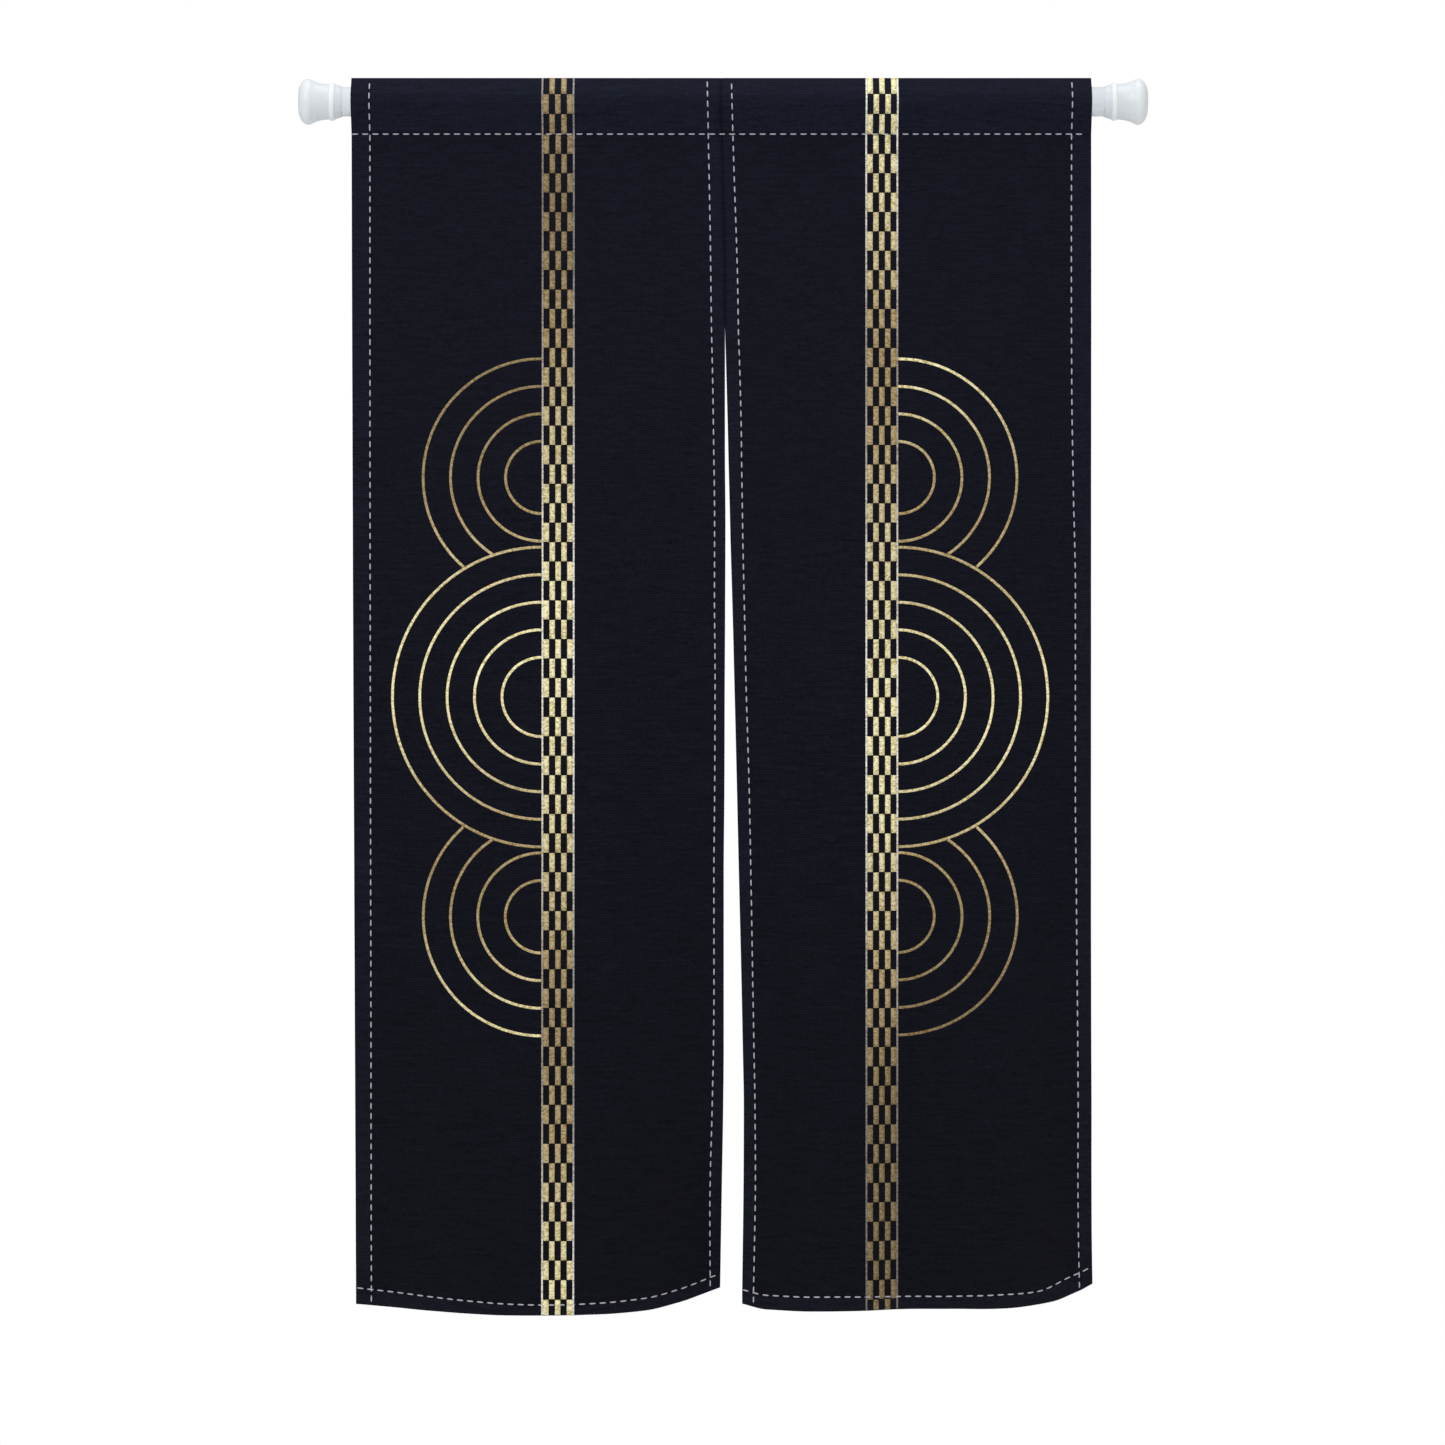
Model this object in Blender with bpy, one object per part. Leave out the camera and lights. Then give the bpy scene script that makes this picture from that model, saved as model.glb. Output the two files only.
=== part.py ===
"""A split doorway curtain on a tension rod.

Two hemmed cloth panels hang side by side. Their folded-over top is the rod pocket. They are sewn
together down to the head of the slit, and below it they hang free in shallow folds. The rod is a
steel tube with a flared plastic cap on each end, wedged between the two sides of a doorway.

Everything is in metres. X runs along the rod from the middle of the left cap's end face, Y runs
away from the viewer and Z up from the rod's axis. A drop is a distance below that axis.
"""

import math

import bmesh
import bpy

# The rod and its caps
ROD_LENGTH = 0.986
TUBE_RADIUS = 0.017
TUBE_WALL = 0.0008
ROUND_SIDES = 40
CAP_BORE_DEPTH = 0.039
# Each row is one ring of the cap: how far it is from the jamb, and its radius.
CAP_PROFILE = (
    {"from_jamb": 0.0000, "radius": 0.0150},
    {"from_jamb": 0.0022, "radius": 0.0207},
    {"from_jamb": 0.0052, "radius": 0.0243},
    {"from_jamb": 0.0086, "radius": 0.0263},
    {"from_jamb": 0.0112, "radius": 0.0267},
    {"from_jamb": 0.0136, "radius": 0.0261},
    {"from_jamb": 0.0180, "radius": 0.0239},
    {"from_jamb": 0.0235, "radius": 0.0220},
    {"from_jamb": 0.0300, "radius": 0.0209},
    {"from_jamb": 0.0350, "radius": 0.0206},
    {"from_jamb": 0.0366, "radius": 0.0216},
    {"from_jamb": 0.0388, "radius": 0.0221},
    {"from_jamb": 0.0410, "radius": 0.0215},
    {"from_jamb": 0.0424, "radius": 0.0203},
    {"from_jamb": 0.0444, "radius": 0.0195},
    {"from_jamb": 0.0468, "radius": 0.0189},
    {"from_jamb": 0.0505, "radius": 0.0182},
)

# The cloth
LAYER = 0.0011
GAP = 0.0003
CLOTH_TOP = 0.0277
POCKET_STITCH_DROP = 0.0374
POCKET_TURNED_EDGE = 0.009
SLIT_HEAD_DROP = 0.2595
SIDE_HEM = 0.021
MIDDLE_HEM = 0.015
BOTTOM_HEM = 0.018
HEM_STEP = 0.0012

# How finely the cloth's solids are divided
POCKET_ARC_STEPS = 7
CREASE_STEPS = 4
COLUMNS_BETWEEN_HEMS = 16
ROWS_BETWEEN_HEMS = 29
SMOOTH_BELOW = math.radians(40)

# The upright edges of the two panels: how far along the rod each lies at a drop. The panels meet
# at the seam line, and below the head of the slit each side draws back from it.
LEFT_OUTER_EDGE = (
    {"drop": -0.028, "along": 0.0609},
    {"drop": 1.400, "along": 0.0644},
)
SEAM_LINE = (
    {"drop": -0.028, "along": 0.4900},
    {"drop": SLIT_HEAD_DROP, "along": 0.4952},
    {"drop": 0.400, "along": 0.4952},
    {"drop": 0.490, "along": 0.4959},
    {"drop": 0.600, "along": 0.4955},
    {"drop": 0.700, "along": 0.4952},
    {"drop": 1.400, "along": 0.4952},
)
RIGHT_OUTER_EDGE = (
    {"drop": -0.028, "along": 0.9209},
    {"drop": 0.900, "along": 0.9215},
    {"drop": 1.200, "along": 0.9227},
    {"drop": 1.381, "along": 0.9262},
)
SLIT_SIDES = (
    {"drop": -0.028, "left": 0.0, "right": 0.0},
    {"drop": SLIT_HEAD_DROP, "left": 0.0, "right": 0.0},
    {"drop": 0.330, "left": 0.0000, "right": 0.0016},
    {"drop": 0.400, "left": 0.0000, "right": 0.0036},
    {"drop": 0.490, "left": 0.0001, "right": 0.0052},
    {"drop": 0.600, "left": 0.0001, "right": 0.0087},
    {"drop": 0.700, "left": 0.0003, "right": 0.0115},
    {"drop": 0.800, "left": 0.0006, "right": 0.0139},
    {"drop": 0.900, "left": 0.0014, "right": 0.0162},
    {"drop": 1.030, "left": 0.0014, "right": 0.0193},
    {"drop": 1.100, "left": 0.0014, "right": 0.0207},
    {"drop": 1.170, "left": 0.0020, "right": 0.0219},
    {"drop": 1.240, "left": 0.0032, "right": 0.0217},
    {"drop": 1.385, "left": 0.0056, "right": 0.0200},
)

# The bottom edges. A share runs from a panel's left edge, 0, to its right edge, 1.
LEFT_HEM_LINE = (
    {"share": 0.00, "drop": 1.4005},
    {"share": 0.20, "drop": 1.4060},
    {"share": 0.45, "drop": 1.4086},
    {"share": 0.68, "drop": 1.4078},
    {"share": 0.80, "drop": 1.4066},
    {"share": 0.89, "drop": 1.4004},
    {"share": 0.95, "drop": 1.3926},
    {"share": 1.00, "drop": 1.3847},
)
RIGHT_HEM_LINE = (
    {"share": 0.00, "drop": 1.3992},
    {"share": 0.07, "drop": 1.4050},
    {"share": 0.16, "drop": 1.4046},
    {"share": 0.30, "drop": 1.4040},
    {"share": 0.50, "drop": 1.4046},
    {"share": 0.66, "drop": 1.4024},
    {"share": 0.80, "drop": 1.4002},
    {"share": 0.88, "drop": 1.3976},
    {"share": 0.95, "drop": 1.3884},
    {"share": 1.00, "drop": 1.3797},
)

# The folds. Each starts below a drop, leans from its upper share to its lower one, and is
# deepest at the bottom hem. A depth below zero comes towards the viewer.
LEFT_FOLDS = (
    {"upper": 0.00, "lower": 0.00, "half_width": 0.36, "depth": 0.028, "start": 0.20},
    {"upper": 0.42, "lower": 0.52, "half_width": 0.44, "depth": -0.024, "start": 0.12},
    {"upper": 1.00, "lower": 1.00, "half_width": 0.34, "depth": 0.030, "start": 0.28},
)
RIGHT_FOLDS = (
    {"upper": 0.00, "lower": 0.00, "half_width": 0.20, "depth": 0.018, "start": 0.30},
    {"upper": 0.34, "lower": 0.25, "half_width": 0.26, "depth": -0.021, "start": 0.16},
    {"upper": 0.56, "lower": 0.50, "half_width": 0.21, "depth": 0.012, "start": 0.36},
    {"upper": 0.70, "lower": 0.74, "half_width": 0.22, "depth": -0.015, "start": 0.24},
    {"upper": 1.00, "lower": 1.00, "half_width": 0.24, "depth": 0.022, "start": 0.20},
)
FOLD_GROWTH = 1.35


def between(table, key, value, at):
    """The value of a table at a place along its key, on a smooth curve through its rows."""
    places = [row[key] for row in table]
    values = [row[value] for row in table]
    if at <= places[0]:
        return values[0]
    if at >= places[-1]:
        return values[-1]
    steps = [
        (values[i + 1] - values[i]) / (places[i + 1] - places[i])
        for i in range(len(places) - 1)
    ]
    slopes = [steps[0]]
    for before, after in zip(steps, steps[1:]):
        slopes.append(0.0 if before * after <= 0 else 2 * before * after / (before + after))
    slopes.append(steps[-1])
    i = max(k for k in range(len(steps)) if places[k] <= at)
    span = places[i + 1] - places[i]
    t = (at - places[i]) / span
    return (
        values[i] * (1 + 2 * t) * (1 - t) ** 2
        + values[i + 1] * t * t * (3 - 2 * t)
        + slopes[i] * span * t * (1 - t) ** 2
        + slopes[i + 1] * span * t * t * (t - 1)
    )


def bell(distance):
    """1 at no distance, falling smoothly to 0 at a distance of 1."""
    return 0.5 + 0.5 * math.cos(math.pi * min(abs(distance), 1.0))


def fold_depth(panel, share, drop):
    """How far back the cloth lies at a share of the panel's width and a drop: the sum of its folds
    and of the curl of its lower right corner."""
    lowest = between(panel["hem_line"], "share", "drop", share)
    depth = 0.0
    for fold in panel["folds"]:
        fallen = (drop - fold["start"]) / (lowest - fold["start"])
        if fallen <= 0:
            continue
        middle = fold["upper"] + (fold["lower"] - fold["upper"]) * fallen
        side = (share - middle) / fold["half_width"]
        depth += fold["depth"] * bell(side) * fallen**FOLD_GROWTH
    curl = panel["curl"]
    width = panel["width"]
    away = math.hypot((1 - share) * width / curl["across"], (lowest - drop) / curl["up"])
    return depth + curl["depth"] * bell(away)


def mesh_object(name, points, faces, surface):
    """A named object from points and faces, with its faces turned outwards."""
    shape = bmesh.new()
    corners = [shape.verts.new(point) for point in points]
    for face in faces:
        shape.faces.new([corners[i] for i in face])
    bmesh.ops.recalc_face_normals(shape, faces=shape.faces)
    mesh = bpy.data.meshes.new(name)
    shape.to_mesh(mesh)
    shape.free()
    mesh.shade_smooth()
    mesh.set_sharp_from_angle(angle=SMOOTH_BELOW)
    mesh.materials.append(surface)
    made = bpy.data.objects.new(name, mesh)
    bpy.context.scene.collection.objects.link(made)
    return made


def material(name, colour, roughness, metallic):
    """A plain material with the part's colour."""
    made = bpy.data.materials.new(name)
    made.use_nodes = True
    shader = made.node_tree.nodes["Principled BSDF"]
    shader.inputs["Base Color"].default_value = (*colour, 1.0)
    shader.inputs["Roughness"].default_value = roughness
    shader.inputs["Metallic"].default_value = metallic
    return made


def turned(name, profile, surface):
    """A solid turned about the X axis from (along, radius) points. The profile starts and ends on
    the axis, or ends where it starts."""
    points = []
    rings = []
    for along, radius in profile:
        if radius == 0:
            rings.append([len(points)] * ROUND_SIDES)
            points.append((along, 0.0, 0.0))
            continue
        if rings and (along, radius) == profile[0]:
            rings.append(rings[0])
            continue
        rings.append(list(range(len(points), len(points) + ROUND_SIDES)))
        for side in range(ROUND_SIDES):
            angle = 2 * math.pi * side / ROUND_SIDES
            points.append((along, radius * math.cos(angle), radius * math.sin(angle)))
    faces = []
    for ring, following in zip(rings, rings[1:]):
        for side in range(ROUND_SIDES):
            after = (side + 1) % ROUND_SIDES
            corners = [ring[side], ring[after], following[after], following[side]]
            faces.append(list(dict.fromkeys(corners)))
    return mesh_object(name, points, faces, surface)


def rod_tube(surface):
    """The steel tube, open at both ends inside the caps."""
    start = CAP_PROFILE[-1]["from_jamb"] - CAP_BORE_DEPTH + GAP
    end = ROD_LENGTH - start
    inner = TUBE_RADIUS - TUBE_WALL
    profile = [
        (start, inner),
        (start, TUBE_RADIUS),
        (end, TUBE_RADIUS),
        (end, inner),
        (start, inner),
    ]
    return turned("rod_tube", profile, surface)


def rod_cap(name, surface):
    """A flared cap that sleeves over the tube, with a flat end face for the jamb."""
    sleeve_end = CAP_PROFILE[-1]["from_jamb"]
    bore = TUBE_RADIUS + GAP
    profile = [(0.0, 0.0)]
    profile += [(row["from_jamb"], row["radius"]) for row in CAP_PROFILE]
    profile += [
        (sleeve_end, bore),
        (sleeve_end - CAP_BORE_DEPTH, bore),
        (sleeve_end - CAP_BORE_DEPTH, 0.0),
    ]
    return turned(name, profile, surface)


def pocket_rings():
    """The pocket's section as (y, z) points: the outside from the front stitch line over the crease
    to the back one, the inside from the stitch line round and back to it, and for each outside
    point the inside point that it stands on."""
    inside_radius = TUBE_RADIUS + GAP
    outside_radius = inside_radius + LAYER
    crease = CLOTH_TOP - LAYER
    below = math.asin(inside_radius / POCKET_STITCH_DROP)
    above = math.asin(inside_radius / crease)
    angles = [
        -below + (above + below) * step / POCKET_ARC_STEPS
        for step in range(POCKET_ARC_STEPS + 1)
    ]
    front_inside = [
        (-inside_radius * math.cos(a), inside_radius * math.sin(a)) for a in angles
    ]
    front_outside = [
        (-outside_radius * math.cos(a), outside_radius * math.sin(a)) for a in angles
    ]
    over_crease = []
    for step in range(CREASE_STEPS + 1):
        turn = above + (math.pi - 2 * above) * step / CREASE_STEPS
        over_crease.append((-LAYER * math.cos(turn), crease + LAYER * math.sin(turn)))
    stitch_kink = -POCKET_STITCH_DROP - LAYER * math.tan(below / 2)
    outside = [
        (-LAYER, stitch_kink),
        *front_outside,
        *over_crease,
        *[(-y, z) for y, z in reversed(front_outside)],
        (LAYER, stitch_kink),
    ]
    inside = [
        (0.0, -POCKET_STITCH_DROP),
        *front_inside,
        (0.0, crease),
        *[(-y, z) for y, z in reversed(front_inside)],
    ]
    arc = len(angles)
    stands_on = [
        0,
        *range(1, arc + 1),
        *[arc + 1] * len(over_crease),
        *range(arc + 2, 2 * arc + 2),
        0,
    ]
    return outside, inside, stands_on


def column_shares(panel):
    """(share of the width, whether the cloth is hemmed there) for each column of the mesh."""
    left = panel["left_hem"] / panel["width"]
    right = 1 - panel["right_hem"] / panel["width"]
    step = HEM_STEP / panel["width"]
    first, last = left + step, right - step
    spread = [
        (first + (last - first) * i / COLUMNS_BETWEEN_HEMS, False)
        for i in range(COLUMNS_BETWEEN_HEMS + 1)
    ]
    return [(0.0, True), (left, True), *spread, (right, True), (1.0, True)]


def row_drops(lowest):
    """(drop, whether the cloth is double there) for each row from the bottom edge to the pocket."""
    turned_edge = POCKET_STITCH_DROP + POCKET_TURNED_EDGE
    first = lowest - BOTTOM_HEM - HEM_STEP
    last = turned_edge + HEM_STEP
    spread = [
        (first + (last - first) * i / ROWS_BETWEEN_HEMS, False)
        for i in range(ROWS_BETWEEN_HEMS + 1)
    ]
    return [(lowest, True), (lowest - BOTTOM_HEM, True), *spread, (turned_edge, True)]


def cloth_panel(name, panel, surface):
    """One panel: a sheet with its hems, closed at the top into the rod pocket."""
    outside, inside, stands_on = pocket_rings()

    def along(share, drop):
        left = panel["left_edge"](drop)
        return left + (panel["right_edge"](drop) - left) * share

    points = []
    columns = []
    for share, hemmed in column_shares(panel):
        lowest = between(panel["hem_line"], "share", "drop", share)
        rows = row_drops(lowest)
        column = {"outer": [], "inner": []}

        def add(ring, y, z):
            column[ring].append(len(points))
            points.append((along(share, -z), y, z))

        for drop, _ in rows:
            add("outer", fold_depth(panel, share, drop) - LAYER, -drop)
        for y, z in outside:
            add("outer", y, z)
        for drop, double in reversed(rows):
            back = LAYER if hemmed or double else 0.0
            add("outer", fold_depth(panel, share, drop) + back, -drop)
        for y, z in inside:
            add("inner", y, z)
        columns.append(column)

    faces = []
    for column, following in zip(columns, columns[1:]):
        for ring in ("outer", "inner"):
            count = len(column[ring])
            for i in range(count):
                j = (i + 1) % count
                faces.append(
                    [column[ring][i], column[ring][j], following[ring][j], following[ring][i]]
                )
    row_count = len(rows)
    for column in (columns[0], columns[-1]):
        faces += end_faces(column, row_count, stands_on)
    return mesh_object(name, points, faces, surface)


def end_faces(column, row_count, stands_on):
    """The faces that close the cloth's cut section at one upright edge."""
    outer, inner = column["outer"], column["inner"]
    faces = []
    front = outer[:row_count]
    back = outer[: -row_count - 1 : -1]
    over = outer[row_count:-row_count]
    for i in range(row_count - 1):
        faces.append([front[i], front[i + 1], back[i + 1], back[i]])
    faces.append([front[-1], over[0], over[-1], back[-1]])
    faces.append([over[0], inner[0], over[-1]])
    for i in range(len(over) - 1):
        foot, next_foot = inner[stands_on[i]], inner[stands_on[i + 1]]
        faces.append(list(dict.fromkeys([over[i], over[i + 1], next_foot, foot])))
    return faces


def left_outer_edge(drop):
    """How far along the rod the left panel's outer edge lies at a drop."""
    return between(LEFT_OUTER_EDGE, "drop", "along", drop)


def right_outer_edge(drop):
    """How far along the rod the right panel's outer edge lies at a drop."""
    return between(RIGHT_OUTER_EDGE, "drop", "along", drop)


def left_inner_edge(drop):
    """How far along the rod the left panel's side of the seam and slit lies at a drop."""
    drawn_back = between(SLIT_SIDES, "drop", "left", drop)
    return between(SEAM_LINE, "drop", "along", drop) - drawn_back - GAP / 2


def right_inner_edge(drop):
    """How far along the rod the right panel's side of the seam and slit lies at a drop."""
    drawn_back = between(SLIT_SIDES, "drop", "right", drop)
    return between(SEAM_LINE, "drop", "along", drop) + drawn_back + GAP / 2


PANELS = {
    "panel_left": {
        "left_edge": left_outer_edge,
        "right_edge": left_inner_edge,
        "left_hem": SIDE_HEM,
        "right_hem": MIDDLE_HEM,
        "hem_line": LEFT_HEM_LINE,
        "folds": LEFT_FOLDS,
        "curl": {"depth": 0.032, "across": 0.150, "up": 0.230},
        "width": left_inner_edge(0) - left_outer_edge(0),
    },
    "panel_right": {
        "left_edge": right_inner_edge,
        "right_edge": right_outer_edge,
        "left_hem": MIDDLE_HEM,
        "right_hem": SIDE_HEM,
        "hem_line": RIGHT_HEM_LINE,
        "folds": RIGHT_FOLDS,
        "curl": {"depth": 0.032, "across": 0.130, "up": 0.210},
        "width": right_outer_edge(0) - right_inner_edge(0),
    },
}


def main():
    for old in list(bpy.data.objects):
        bpy.data.objects.remove(old, do_unlink=True)
    cloth = material("cloth", (0.009, 0.009, 0.014), 0.85, 0.0)
    enamel = material("white_enamel", (0.80, 0.83, 0.86), 0.35, 0.0)
    plastic = material("white_plastic", (0.86, 0.88, 0.90), 0.40, 0.0)
    rod_tube(enamel)
    rod_cap("rod_cap_left", plastic)
    far_cap = rod_cap("rod_cap_right", plastic)
    far_cap.location.x = ROD_LENGTH
    far_cap.rotation_euler.z = math.pi
    for name, panel in PANELS.items():
        cloth_panel(name, panel, cloth)


main()
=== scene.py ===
"""The looks of a split doorway curtain on a tension rod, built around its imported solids.

Two hemmed panels of blue-black cloth hang from their rod pocket. Each has a printed gold check
band and, beside it, printed gold fans of arcs. Sewing thread runs along every hem.

Everything is in metres, in the solids' own frame: X runs along the rod from the left cap's end
face, Y runs away from the viewer and Z up from the rod's axis. A drop is a distance below it.
"""

import math

import bmesh
import bpy
import numpy as np
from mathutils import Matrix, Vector


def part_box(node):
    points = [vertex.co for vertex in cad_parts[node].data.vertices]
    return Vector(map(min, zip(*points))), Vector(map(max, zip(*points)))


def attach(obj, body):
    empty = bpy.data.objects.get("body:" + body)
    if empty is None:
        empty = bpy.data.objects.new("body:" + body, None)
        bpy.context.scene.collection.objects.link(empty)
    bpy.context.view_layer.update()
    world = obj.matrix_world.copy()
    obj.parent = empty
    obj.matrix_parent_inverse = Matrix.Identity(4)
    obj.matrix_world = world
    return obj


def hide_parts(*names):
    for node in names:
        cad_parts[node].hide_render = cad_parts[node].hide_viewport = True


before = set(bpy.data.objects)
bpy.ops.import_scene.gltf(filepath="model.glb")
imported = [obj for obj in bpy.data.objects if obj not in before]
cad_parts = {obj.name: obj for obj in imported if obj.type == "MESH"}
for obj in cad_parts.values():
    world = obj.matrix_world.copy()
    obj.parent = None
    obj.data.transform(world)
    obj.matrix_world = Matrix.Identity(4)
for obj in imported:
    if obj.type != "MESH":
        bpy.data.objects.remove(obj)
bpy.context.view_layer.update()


def table(columns, *rows):
    """Rows as dictionaries with the names of their columns."""
    names = columns.split()
    return tuple(dict(zip(names, row)) for row in rows)


# The photograph: where the rod's left end and axis lie in it, and the real size of a pixel
PHOTO_WIDTH = 1445
PHOTO_ROD_END = 299.0
PHOTO_ROD_ROW = 101.8
PIXEL = 0.0011625

# The rod: its tube starts inside a cap, and the cap's end face is flat
ROD_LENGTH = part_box("rod_cap_right")[1].x
TUBE_RADIUS = 0.017
TUBE_START = 0.035
TUBE_CHAMFER = 0.0003
TUBE_RINGS = (0.30, 0.70)
CAP_FACE_RADII = (0.0040, 0.0080, 0.0120, 0.0146)
CAP_STEPS = 90
CAP_LIP_GAP = 0.0001
ROUND_SIDES = 96
CAP_PROFILE = table(
    "from_jamb radius",
    (0.0000, 0.0150), (0.0022, 0.0207), (0.0052, 0.0243), (0.0086, 0.0263),
    (0.0112, 0.0267), (0.0136, 0.0261), (0.0180, 0.0239), (0.0235, 0.0220),
    (0.0300, 0.0209), (0.0350, 0.0206), (0.0366, 0.0216), (0.0388, 0.0221),
    (0.0410, 0.0215), (0.0424, 0.0203), (0.0444, 0.0195), (0.0468, 0.0188),
    (0.0490, 0.0180), (0.0505, 0.0173),
)
# Painted highlights along a cap, as how white it is painted there: 1 is the white of the highlight
# on its ring
CAP_PAINTED_HIGHLIGHTS = table(
    "from_jamb ridge",
    (0.0000, 0.50), (0.0080, 0.55), (0.0160, 0.40), (0.0240, 0.15),
    (0.0352, 0.10), (0.0366, 1.00), (0.0410, 1.00), (0.0424, 0.00),
    (0.0505, 0.00),
)

# The cloth, its pocket and its rounded edges. The middle drop is halfway down a panel.
SHEET = 0.0006
HEM_EXTRA = 0.0009
HEM_PAST_STITCH = 0.0017
FIRST_TURN = 0.008
POCKET_CLEARANCE = 0.0003
CLOTH_TOP = 0.0277
CREASE_RADIUS = 0.0008
POCKET_STITCH_DROP = 0.0374
POCKET_TURNED_EDGE = 0.009
MIDDLE_DROP = 0.7
RIM_ROUND = 0.00075
RIM_LEAST = 0.3
RIM_PULL = 0.9

# The seam between the panels, which ends at the head of the slit
SLIT_HEAD_DROP = 0.2595
SEAM_OVERLAP = 0.0001
SEAM_OVERLAP_END = 0.006
SEAM_OVERLAP_FADE = 0.010
SEAM_RELEASE = 0.006
SEAM_GROOVE = 0.0007
SEAM_ROUND = 0.0017
SEAM_PINCH = 0.45
# The half width of the painted shade in the seam's furrow
SEAM_FURROW_HALF_WIDTH = 0.0034

# The grooves of the stitch lines, the width and strength of the painted shade in their furrows, and
# the tones of the hems
STITCH_GROOVE = 0.0003
GROOVE_HALF_WIDTH = 0.0016
FURROW_HALF_WIDTH = 0.0024
FURROW_PAINTED_SHADE = 0.6
HEM_TONE_START = 0.0010
HEM_TONE_BLEND = 0.0008

# The mesh of a sheet
FIELD_ROWS = 300
FIELD_COLUMNS = 66
LOWER_FACE_ROWS = 12
ROD_ARC_ROWS = 14
UPPER_FACE_ROWS = 8
CREASE_ROWS = 5
POCKET_ROWS = LOWER_FACE_ROWS - 1 + ROD_ARC_ROWS + UPPER_FACE_ROWS - 2 + CREASE_ROWS

# The lines of the sheet's mesh along a hem: their distance from the cloth's edge is a fixed part
# and a share of the stitch line's distance. The line of number STITCH_LINE has the stitches.
HEM_LINES = table(
    "fixed of_inset",
    (0.00000, 0.00), (0.00015, 0.00), (0.00040, 0.00), (0.00080, 0.00),
    (0.00140, 0.00), (0.00010, 0.33), (-0.0012, 0.67), (-0.0024, 1.00),
    (-0.0012, 1.00), (0.00000, 1.00), (0.00120, 1.00), (0.00160, 1.00),
    (0.00180, 1.00), (0.00300, 1.00),
)
STITCH_LINE = 9
HEADER_DROPS = (0.0386, 0.0404, 0.0434, 0.0463, 0.0465, 0.0490)

# The edges of the panels, and how far the slit's sides lie from the seam's line
LEFT_OUTER_EDGE = table(
    "drop along",
    (-0.028, 0.0609), (1.400, 0.0644),
)
SEAM_LINE = table(
    "drop along",
    (-0.028, 0.4900), (SLIT_HEAD_DROP, 0.4952), (0.400, 0.4952), (0.490, 0.4959),
    (0.600, 0.4955), (0.700, 0.4952), (1.400, 0.4952),
)
RIGHT_OUTER_EDGE = table(
    "drop along",
    (-0.028, 0.9209), (0.900, 0.9215), (1.200, 0.9227), (1.381, 0.9262),
)
SLIT_SIDES = table(
    "drop left right",
    (-0.028, 0.0, 0.0),
    (SLIT_HEAD_DROP, 0.0, 0.0),
    (0.2750, 0.0, 0.0003),
    (0.2850, 0.0, 0.00065),
    (0.3000, 0.0, 0.0011),
    (0.3300, 0.0, 0.0019),
    (0.4000, 0.0, 0.0037),
    (0.490, 0.0001, 0.0052),
    (0.600, 0.0001, 0.0087),
    (0.700, 0.0003, 0.0115),
    (0.800, 0.0006, 0.0139),
    (0.900, 0.0014, 0.0162),
    (1.030, 0.0014, 0.0193),
    (1.100, 0.0014, 0.0207),
    (1.170, 0.0020, 0.0219),
    (1.240, 0.0032, 0.0217),
    (1.385, 0.0056, 0.0200),
)
LEFT_HEM_LINE = table(
    "share drop",
    (0.00, 1.4005), (0.20, 1.4060), (0.45, 1.4086), (0.68, 1.4078),
    (0.80, 1.4066), (0.89, 1.4004), (0.95, 1.3926), (1.00, 1.3847),
)
RIGHT_HEM_LINE = table(
    "share drop",
    (0.00, 1.3992), (0.07, 1.4050), (0.16, 1.4046), (0.30, 1.4040),
    (0.50, 1.4046), (0.66, 1.4024), (0.80, 1.4002), (0.88, 1.3976),
    (0.95, 1.3884), (1.00, 1.3797),
)
# The folds, from a place near the pocket to one at the bottom, and faint ripples
LEFT_FOLDS = table(
    "upper lower half_width depth start",
    (0.00, 0.00, 0.36, 0.028, 0.20),
    (0.42, 0.52, 0.44, -0.024, 0.12),
    (1.00, 1.00, 0.34, 0.030, 0.28),
)
RIGHT_FOLDS = table(
    "upper lower half_width depth start",
    (0.00, 0.00, 0.20, 0.018, 0.30),
    (0.34, 0.25, 0.26, -0.021, 0.16),
    (0.56, 0.50, 0.21, 0.012, 0.36),
    (0.70, 0.74, 0.22, -0.015, 0.24),
    (1.00, 1.00, 0.24, 0.022, 0.20),
)
FOLD_GROWTH = 1.35
RIPPLES = table(
    "across down height",
    (5.3, 1.1, 0.00060),
    (9.7, -2.3, 0.00035),
    (3.1, 7.9, 0.00030),
)
RIPPLE_START = 0.06
RIPPLE_RISE = 0.25

# How far each hem's stitch line lies from the cloth's edge
LEFT_OUTER_STITCH = table(
    "drop inset",
    (0.000, 0.0215), (0.340, 0.0207), (0.700, 0.0197), (1.050, 0.0190),
    (1.390, 0.0181),
)
LEFT_INNER_STITCH = table(
    "drop inset",
    (0.000, 0.0156), (0.220, 0.0162), (0.340, 0.0140), (0.450, 0.0127),
    (0.570, 0.0126), (0.680, 0.0113), (0.920, 0.0115), (1.030, 0.0114),
    (1.150, 0.0127), (1.265, 0.0138), (1.390, 0.0117),
)
RIGHT_INNER_STITCH = table(
    "drop inset",
    (0.000, 0.0128), (0.100, 0.0136), (0.220, 0.0152), (0.340, 0.0158),
    (0.450, 0.0149), (0.570, 0.0140), (0.680, 0.0136), (0.800, 0.0143),
    (0.920, 0.0139), (1.030, 0.0132), (1.150, 0.0130), (1.265, 0.0139),
    (1.390, 0.0133),
)
RIGHT_OUTER_STITCH = table(
    "drop inset",
    (0.000, 0.0228), (0.220, 0.0232), (0.340, 0.0227), (0.450, 0.0209),
    (0.570, 0.0184), (0.800, 0.0184), (0.920, 0.0172), (1.150, 0.0158),
    (1.265, 0.0164), (1.390, 0.0157),
)
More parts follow.
